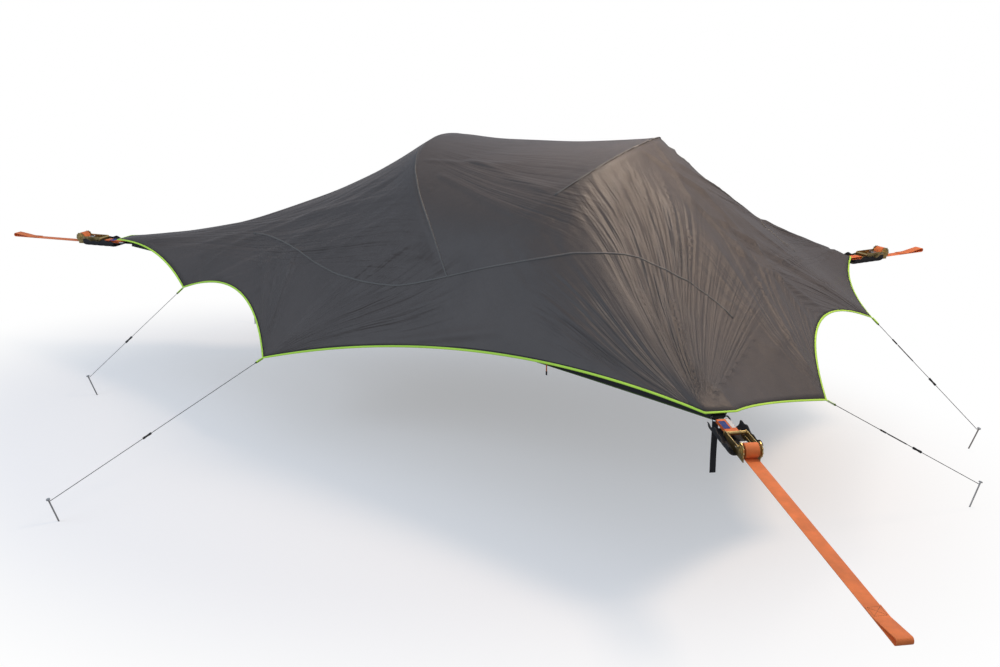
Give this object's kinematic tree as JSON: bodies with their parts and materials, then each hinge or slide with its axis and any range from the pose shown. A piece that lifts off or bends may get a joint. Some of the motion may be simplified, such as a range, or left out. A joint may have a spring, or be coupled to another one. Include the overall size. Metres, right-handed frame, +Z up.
{
  "type": "tree tent",
  "caption": "Triangular suspended tent with a taut floor, crossed hoop poles, mesh inner canopy and arched flysheet, held off the ground by ratcheted webbing straps and steadied by guy lines.",
  "frame": {"origin": "the bend of the tree loop at the end of the foot strap, in the middle of its width", "axes": "+X runs from the foot of the tent to its head end, +Y to the far side and +Z up"},
  "size_m": [5.7766, 4.6391, 1.5261],
  "materials": {
    "fly_cloth": "dark grey coated cloth",
    "lime_tape": "woven tape",
    "floor_cloth": "black coated cloth",
    "mesh_cloth": "fine black net",
    "pole_alloy": "dark anodised",
    "black_plastic": "moulded",
    "black_webbing": "woven webbing",
    "orange_webbing": "woven webbing",
    "gold_zinc": "yellow zinc plate",
    "zinc_steel": "bright zinc plate",
    "guy_cord": "braided cord"
  },
  "bodies": {
    "tent": {"corner_ring_far": "zinc_steel", "corner_ring_foot": "zinc_steel", "corner_ring_near": "zinc_steel", "corner_webbing_far": "black_webbing", "corner_webbing_foot": "black_webbing", "corner_webbing_near": "black_webbing", "floor": "floor_cloth", "fly_binding": "lime_tape", "flysheet": "fly_cloth", "foot_hoop_cup_far": "black_plastic", "foot_hoop_cup_near": "black_plastic", "foot_hoop_pole": "pole_alloy", "guy_line_foot_far": "guy_cord", "guy_line_foot_near": "guy_cord", "guy_line_head_far": "guy_cord", "guy_line_head_near": "guy_cord", "guy_line_side_far": "guy_cord", "guy_line_side_near": "guy_cord", "head_hoop_cup_far": "black_plastic", "head_hoop_cup_near": "black_plastic", "head_hoop_pole": "pole_alloy", "inner_canopy": "mesh_cloth", "peg_foot_far": "zinc_steel", "peg_foot_near": "zinc_steel", "peg_head_far": "zinc_steel", "peg_head_near": "zinc_steel", "peg_side_far": "zinc_steel", "peg_side_near": "zinc_steel", "ratchet_frame_far": "gold_zinc", "ratchet_frame_foot": "gold_zinc", "ratchet_frame_near": "gold_zinc", "ratchet_pad_far": "black_webbing", "ratchet_pad_foot": "black_webbing", "ratchet_pad_near": "black_webbing", "tether_far": "orange_webbing", "tether_foot": "orange_webbing", "tether_near": "orange_webbing", "tree_strap_far": "orange_webbing", "tree_strap_foot": "orange_webbing", "tree_strap_near": "orange_webbing"},
    "foot_handle": {"ratchet_handle_foot": "gold_zinc"},
    "foot_spool": {"ratchet_spool_foot": "gold_zinc"},
    "foot_slide": {"release_slide_foot": "zinc_steel"},
    "near_handle": {"ratchet_handle_near": "gold_zinc"},
    "near_spool": {"ratchet_spool_near": "gold_zinc"},
    "near_slide": {"release_slide_near": "zinc_steel"},
    "far_handle": {"ratchet_handle_far": "gold_zinc"},
    "far_spool": {"ratchet_spool_far": "gold_zinc"},
    "far_slide": {"release_slide_far": "zinc_steel"},
    "near_door": {"door_near": "mesh_cloth"},
    "far_door": {"door_far": "mesh_cloth"},
    "near_toggle": {"door_toggle_near": "orange_webbing"},
    "far_toggle": {"door_toggle_far": "orange_webbing"},
    "tail": {"corner_tail": "black_webbing"},
    "foot_near_adjuster": {"line_adjuster_foot_near": "black_plastic"},
    "side_near_adjuster": {"line_adjuster_side_near": "black_plastic"},
    "head_near_adjuster": {"line_adjuster_head_near": "black_plastic"},
    "head_far_adjuster": {"line_adjuster_head_far": "black_plastic"},
    "side_far_adjuster": {"line_adjuster_side_far": "black_plastic"},
    "foot_far_adjuster": {"line_adjuster_foot_far": "black_plastic"}
  },
  "joints": [
    {"name": "foot_handle_lift", "type": "hinge", "parent": "tent", "child": "foot_handle", "pos_m": [0.54404, 0, 0.03695], "axis": [0, -1, 0], "range_deg": [0, 150]},
    {"name": "foot_spool_turn", "type": "hinge", "parent": "tent", "child": "foot_spool", "pos_m": [0.54404, 0, 0.03695], "axis": [0, -1, 0], "continuous": true},
    {"name": "foot_release_pull", "type": "slide", "parent": "foot_handle", "child": "foot_slide", "axis": [0.9994, 0, 0.0349], "range_m": [0, 0.008], "stiffness_N_per_m": 300, "springref_m": -0.012},
    {"name": "near_handle_lift", "type": "hinge", "parent": "tent", "child": "near_handle", "pos_m": [5.03342, -1.61295, 0.03695], "axis": [0.8339, 0.5519, 0], "range_deg": [0, 150]},
    {"name": "near_spool_turn", "type": "hinge", "parent": "tent", "child": "near_spool", "pos_m": [5.03342, -1.61295, 0.03695], "axis": [0.8339, 0.5519, 0], "continuous": true},
    {"name": "near_release_pull", "type": "slide", "parent": "near_handle", "child": "near_slide", "axis": [-0.5516, 0.8334, 0.0349], "range_m": [0, 0.008], "stiffness_N_per_m": 300, "springref_m": -0.012},
    {"name": "far_handle_lift", "type": "hinge", "parent": "tent", "child": "far_handle", "pos_m": [5.03342, 1.61295, 0.03695], "axis": [-0.8339, 0.5519, 0], "range_deg": [0, 150]},
    {"name": "far_spool_turn", "type": "hinge", "parent": "tent", "child": "far_spool", "pos_m": [5.03342, 1.61295, 0.03695], "axis": [-0.8339, 0.5519, 0], "continuous": true},
    {"name": "far_release_pull", "type": "slide", "parent": "far_handle", "child": "far_slide", "axis": [-0.5516, -0.8334, 0.0349], "range_m": [0, 0.008], "stiffness_N_per_m": 300, "springref_m": -0.012},
    {"name": "near_door_fold", "type": "hinge", "parent": "tent", "child": "near_door", "pos_m": [4.20523, -0.97787, 0.07895], "axis": [-0.9475, 0.3198, 0], "range_deg": [0, 30]},
    {"name": "far_door_fold", "type": "hinge", "parent": "tent", "child": "far_door", "pos_m": [4.20523, 0.97787, 0.07895], "axis": [0.9475, 0.3198, 0], "range_deg": [0, 30]},
    {"name": "near_toggle_swing", "type": "hinge", "parent": "tent", "child": "near_toggle", "pos_m": [4.02369, -1.02037, 0.03495], "axis": [-0.9342, 0.3569, 0], "range_deg": [0, 60]},
    {"name": "far_toggle_swing", "type": "hinge", "parent": "tent", "child": "far_toggle", "pos_m": [4.02369, 1.02037, 0.03495], "axis": [0.9342, 0.3569, 0], "range_deg": [0, 60]},
    {"name": "tail_swing", "type": "hinge", "parent": "tent", "child": "tail", "pos_m": [4.83547, -1.332, 0.02753], "axis": [0.8339, 0.5519, 0], "range_deg": [-20, 20]},
    {"name": "foot_near_adjuster_slide", "type": "slide", "parent": "tent", "child": "foot_near_adjuster", "axis": [-0.4951, -0.5953, -0.6328], "range_m": [-0.1, 0.1]},
    {"name": "side_near_adjuster_slide", "type": "slide", "parent": "tent", "child": "side_near_adjuster", "axis": [-0.1939, -0.9525, -0.235], "range_m": [-0.1, 0.1]},
    {"name": "head_near_adjuster_slide", "type": "slide", "parent": "tent", "child": "head_near_adjuster", "axis": [0.7036, 0.4967, -0.5083], "range_m": [-0.1, 0.1]},
    {"name": "head_far_adjuster_slide", "type": "slide", "parent": "tent", "child": "head_far_adjuster", "axis": [0.7567, -0.2727, -0.5942], "range_m": [-0.1, 0.1]},
    {"name": "side_far_adjuster_slide", "type": "slide", "parent": "tent", "child": "side_far_adjuster", "axis": [-0.1939, 0.9525, -0.235], "range_m": [-0.1, 0.1]},
    {"name": "foot_far_adjuster_slide", "type": "slide", "parent": "tent", "child": "foot_far_adjuster", "axis": [-0.4951, 0.5953, -0.6328], "range_m": [-0.1, 0.1]}
  ]
}
